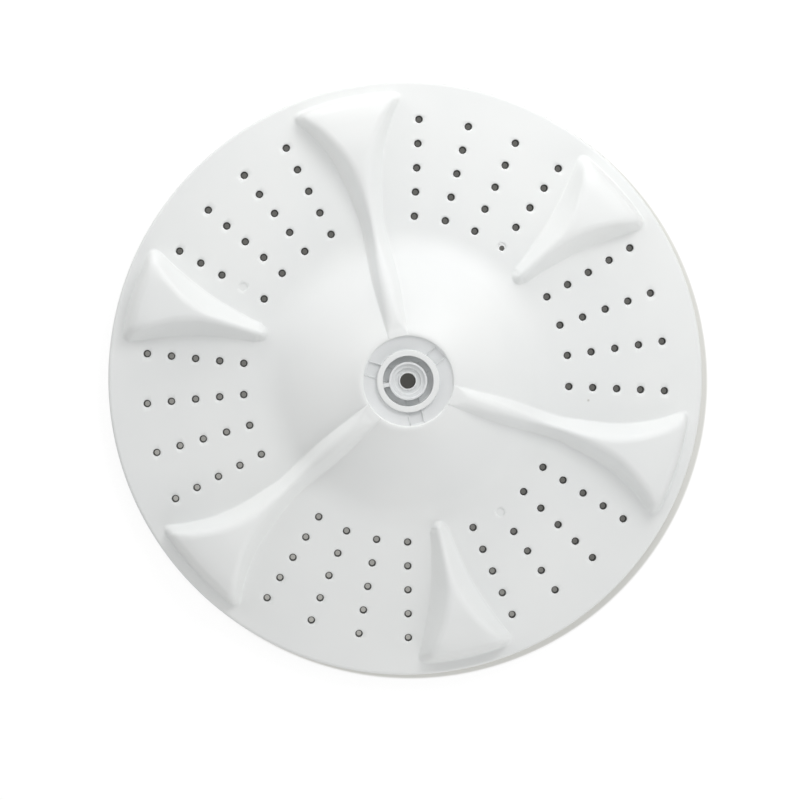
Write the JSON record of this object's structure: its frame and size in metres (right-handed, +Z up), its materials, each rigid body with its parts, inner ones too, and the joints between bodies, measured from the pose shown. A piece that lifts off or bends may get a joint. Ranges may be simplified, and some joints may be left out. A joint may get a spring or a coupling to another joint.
{
  "type": "washing machine agitator",
  "caption": "Round flat washing machine agitator with flared vanes, drain holes, a domed centre and a screw hub.",
  "frame": {"origin": "centre of the rim's underside", "axes": "+Z up along the drive shaft, out of the vaned side; +Y along one long vane"},
  "size_m": [0.34, 0.34, 0.0381],
  "materials": {
    "white_plastic": "satin gloss, injection moulded"
  },
  "bodies": {
    "root": {"agitator_plate": "white_plastic"}
  },
  "joints": []
}
